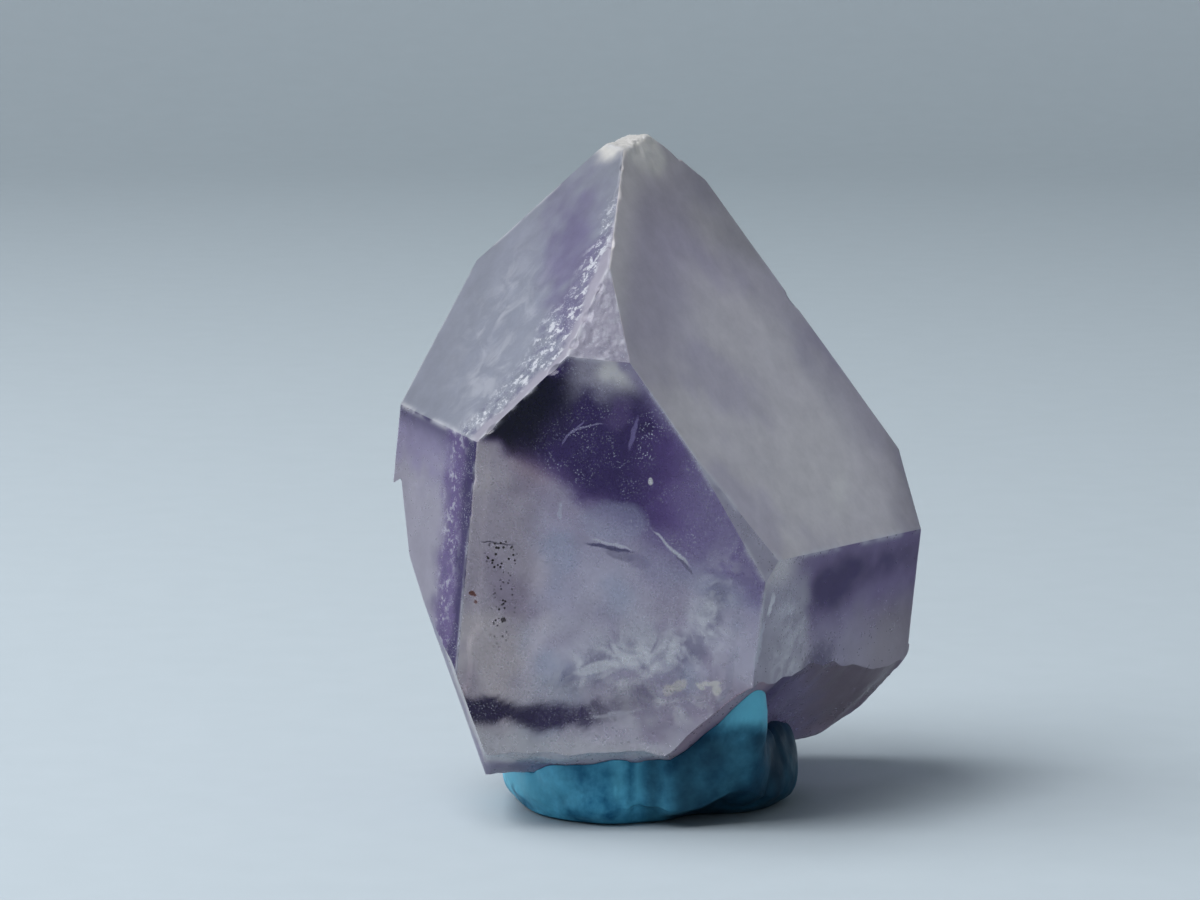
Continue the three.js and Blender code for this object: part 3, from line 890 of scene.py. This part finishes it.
def mark(tree, place, under, setting):
    """An oval of one colour laid over the colour below it, sharp at its rim."""
    x, z, length, width, tilt, colour, strength = setting
    own = node(tree, "ShaderNodeMapping", {"Vector": place}, vector_type="TEXTURE")
    own.inputs["Location"].default_value = (x, FRONT_Y, z)
    own.inputs["Rotation"].default_value = (0.0, -math.radians(tilt), 0.0)
    own.inputs["Scale"].default_value = (length, 2.0, width)
    away = node(tree, "ShaderNodeVectorMath", {0: own.outputs[0]}, operation="LENGTH")
    return blend(tree, mapped(tree, away.outputs["Value"], 1.05, 0.75, 0.0, strength), under, colour)


def amethyst_material():
    """Etched quartz: clear inside, with violet zones and milky veils, and natural faces that are finely
    frosted, which gives the eye a soft see-through body with sharp sparkle only at chips and edges.
    """
    made, tree = material("etched_amethyst")
    place = node(tree, "ShaderNodeTexCoord").outputs["Object"]
    dust = attribute(tree, "dust")
    veil = mapped(tree, noise(tree, place, 1.4, 5.0, 0.68), 0.3, 0.7, 0.90, 1.10)
    veiled = node(tree, "ShaderNodeVectorMath", {0: attribute(tree, "tint", "Color"), 1: veil},
                  operation="MULTIPLY")
    patchy = mapped(tree, noise(tree, place, 0.9, 2.0), 0.42, 0.62)
    sown = sum_of(tree, "MAXIMUM", grains(tree, place, 0.2, 0.17), grains(tree, place, 0.11, 0.26))
    colour = veiled.outputs[0]
    wisps = node(tree, "ShaderNodeTexNoise", {"Vector": place}, Scale=per_mm(1.5), Detail=5.0, Roughness=0.62,
                 Distortion=0.9).outputs["Fac"]
    feathers = mapped(tree, wisps, 0.46, 0.62, 0.0, 0.85)
    floating = sum_of(tree, "MULTIPLY", feathers, attribute(tree, "milky"))
    colour = blend(tree, floating, colour, "#F7F7F8")
    waver = node(tree, "ShaderNodeTexNoise", {"Vector": place}, Scale=per_mm(0.8), Detail=3.0)
    shifted = node(tree, "ShaderNodeVectorMath", {0: waver.outputs["Color"]}, operation="MULTIPLY_ADD")
    shifted.inputs[1].default_value = (0.5, 0.5, 0.5)
    tree.links.new(attribute(tree, "grown", "Color"), shifted.inputs[2])
    centred = node(tree, "ShaderNodeVectorMath", {0: shifted.outputs[0]}, operation="SUBTRACT")
    centred.inputs[1].default_value = (0.25, 0.25, 0.25)
    for setting in MARKS:
        colour = mark(tree, centred.outputs[0], colour, setting)
    broken = noise(tree, place, 0.6, 4.0, 0.75)
    torn = attribute(tree, "crushed")
    gaps = sum_of(tree, "MULTIPLY", mapped(tree, broken, 0.46, 0.38, 0.0, 0.6), torn)
    crumbs = sum_of(tree, "MULTIPLY", mapped(tree, broken, 0.53, 0.58, 0.0, 0.9), torn)
    colour = blend(tree, crumbs, blend(tree, gaps, colour, "#6B6788"), "#F0F1F4")
    white = sum_of(tree, "MULTIPLY", sum_of(tree, "MULTIPLY", sown, patchy), dust)
    dusted = blend(tree, white, colour, "#DDE0E8")
    dark = sum_of(tree, "MULTIPLY", grains(tree, place, 0.22, 0.32), attribute(tree, "specks"))
    specked = blend(tree, mapped(tree, dark, 0.25, 0.5), dusted, "#1C130E")

    etch = noise(tree, place, 0.25, 3.0, 0.55)
    roughness = sum_of(tree, "ADD", mapped(tree, etch, 0.3, 0.7, -0.06, 0.08), attribute(tree, "frost"))
    crushed = node(tree, "ShaderNodeTexVoronoi", {"Vector": place}, Scale=per_mm(0.4))
    fine = sum_of(tree, "MULTIPLY", etch, mapped(tree, attribute(tree, "frost"), 0.2, 0.45, 0.2, 1.0))
    height = sum_of(tree, "ADD", fine, sum_of(tree, "MULTIPLY", crushed.outputs["Distance"], dust))
    bump = node(tree, "ShaderNodeBump", {"Height": height}, Strength=0.2, Distance=BUMP_METRES)

    body = node(tree, "ShaderNodeBsdfPrincipled", {
        "Base Color": specked, "Roughness": roughness, "Normal": bump.outputs["Normal"]})
    body.inputs["IOR"].default_value = QUARTZ_IOR
    body.inputs["Specular IOR Level"].default_value = QUARTZ_MIRRORS
    body.inputs["Transmission Weight"].default_value = QUARTZ_CLEAR
    inside = node(tree, "ShaderNodeVolumeAbsorption", Density=QUARTZ_DENSITY)
    inside.inputs["Color"].default_value = (*linear(QUARTZ_DEPTH_COLOUR), 1.0)
    node(tree, "ShaderNodeOutputMaterial", {"Surface": body.outputs[0], "Volume": inside.outputs[0]})
    return made


def putty_material():
    """Oil-bound adhesive putty, kneaded by hand: a blue-green, softly shiny where it was pressed and duller
    in its folds, with pale stretch marks, painted highlight on the left lobe and the tongue's top, and
    painted shade on the right lobe and beside the pinch.
    """
    made, tree = material("kneaded_putty")
    place = node(tree, "ShaderNodeTexCoord").outputs["Object"]
    mottled = mapped(tree, noise(tree, place, 2.2, 5.0, 0.6), 0.36, 0.76)
    colour = blend(tree, mottled, "#1E6687", "#74C8E3")
    # Pale where stretched at the pinch, and painted highlight on the left lobe and the tongue's top.
    colour = blend(tree, attribute(tree, "stretch"), colour, "#86DDF2")
    # Painted shade on the right lobe and beside the pinch.
    colour = blend(tree, attribute(tree, "shade"), colour, "#05283D")
    rough = mapped(tree, noise(tree, place, 0.8, 5.0), 0.0, 1.0, 0.32, 0.62)
    skin = noise(tree, place, 0.18)
    bump = node(tree, "ShaderNodeBump", {"Height": skin}, Strength=0.3, Distance=BUMP_METRES)
    body = node(tree, "ShaderNodeBsdfPrincipled", {
        "Base Color": colour, "Roughness": rough, "Normal": bump.outputs["Normal"]})
    body.inputs["IOR"].default_value = PUTTY_IOR
    body.inputs["Specular IOR Level"].default_value = PUTTY_MIRRORS
    node(tree, "ShaderNodeOutputMaterial", {"Surface": body.outputs[0]})
    return made


def backdrop_material():
    """Matt paper, pale blue-grey, painted a little paler where it rises from the floor, as painted light on
    the wall.
    """
    made, tree = material("matt_paper")
    place = node(tree, "ShaderNodeTexCoord").outputs["Object"]
    colour = blend(tree, noise(tree, place, 3.0, 3.0), "#A5AEB3", "#A9B2B7")
    height = node(tree, "ShaderNodeSeparateXYZ", {0: place}).outputs["Z"]
    # Painted light: paler with height up the wall.
    colour = blend(tree, mapped(tree, height, 0.0, PAINTED_LIGHT_RISE * MM), colour, "#C3CBD0")
    body = node(tree, "ShaderNodeBsdfPrincipled", {"Base Color": colour}, Roughness=0.85)
    node(tree, "ShaderNodeOutputMaterial", {"Surface": body.outputs[0]})
    return made


# The stage

FLOOR_RADIUS, BEND_RADIUS, WALL_HEIGHT, STAGE_SIDES = 360.0, 220.0, 620.0, 96
WINDOW_PLACE, WINDOW_AIM, WINDOW_SIZE, WINDOW_POWER = (-230, -50, 370), (0, 0, 10), 400, 2.85
SURROUND_STRENGTH = 0.345


def backdrop():
    """A round sweep of paper: a flat floor that bends up into a wall all round, a profile turned about z."""
    bend = np.linspace(0, math.pi / 2, 24)
    radius = np.concatenate([[60, FLOOR_RADIUS], FLOOR_RADIUS + BEND_RADIUS * np.sin(bend[1:]),
                             [FLOOR_RADIUS + BEND_RADIUS]])
    height = np.concatenate([[0, 0], BEND_RADIUS * (1 - np.cos(bend[1:])), [WALL_HEIGHT]])
    turn = np.arange(STAGE_SIDES) * 2 * math.pi / STAGE_SIDES
    ring = np.stack([radius[:, None] * np.cos(turn), radius[:, None] * np.sin(turn),
                     np.repeat(height[:, None], STAGE_SIDES, axis=1)], axis=-1).reshape(-1, 3)
    points = np.vstack([ring, [[0, 0, 0]]]) - SHIFT
    index = np.arange(len(radius) * STAGE_SIDES).reshape(len(radius), STAGE_SIDES)
    after = np.roll(index, -1, axis=1)
    quads = np.stack([index[:-1], index[1:], after[1:], after[:-1]], axis=-1).reshape(-1, 4).tolist()
    middle = len(ring)
    quads += [[middle, a, b] for a, b in zip(index[0], after[0])]
    floor = mesh_object("paper_sweep", points, quads)
    floor.data.materials.append(backdrop_material())
    return floor


def area_light(name, place, aim, size, power, colour):
    """A square lamp at a place, turned to what it lights, unseen by the camera."""
    data = bpy.data.lights.new(name, "AREA")
    data.shape = "SQUARE"
    data.size = size * MM
    data.energy = power
    data.color = linear(colour)
    lamp = bpy.data.objects.new(name, data)
    lamp.location = Vector(place) * MM
    lamp.rotation_euler = (Vector(aim) - Vector(place)).to_track_quat("-Z", "Y").to_euler()
    lamp.visible_camera = False
    bpy.context.scene.collection.objects.link(lamp)


def lights():
    """A broad soft window light from the left, a little behind, and an even pale surround."""
    area_light("window", WINDOW_PLACE, WINDOW_AIM, WINDOW_SIZE, WINDOW_POWER, "#F8F9FC")
    world = bpy.data.worlds.new("surround")
    world.use_nodes = True
    bpy.context.scene.world = world
    sky = world.node_tree.nodes["Background"]
    sky.inputs["Color"].default_value = (*linear("#E4E7EA"), 1.0)
    sky.inputs["Strength"].default_value = SURROUND_STRENGTH


def camera():
    """The photo's view: a long lens at its distance, looking slightly down."""
    data = bpy.data.cameras.new("camera")
    data.sensor_width = SENSOR_MM
    data.lens = SENSOR_MM * CAMERA_DISTANCE * PIXELS_PER_MM / PHOTO_WIDTH
    data.clip_start, data.clip_end = 0.01, 5.0
    viewer = bpy.data.objects.new("camera", data)
    tilt = math.radians(CAMERA_ELEVATION)
    back = np.array([0.0, -math.cos(tilt), math.sin(tilt)])
    viewer.location = Vector(((AIM + SHIFT) + back * CAMERA_DISTANCE) * MM)
    viewer.rotation_euler = (-Vector(back)).to_track_quat("-Z", "Y").to_euler()
    bpy.context.scene.collection.objects.link(viewer)
    bpy.context.scene.camera = viewer


def build():
    """Camera, the two pieces on the one body, the stage and the colour management."""
    camera()
    point = crystal()
    point.data.materials.append(amethyst_material())
    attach(point, "root")
    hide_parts("amethyst_crystal")
    lump = putty()
    lump.data.materials.append(putty_material())
    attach(lump, "root")
    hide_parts("mounting_putty")
    backdrop()
    lights()
    bpy.context.scene.view_settings.view_transform = "Standard"
    bpy.context.scene.view_settings.look = "Medium High Contrast"


build()
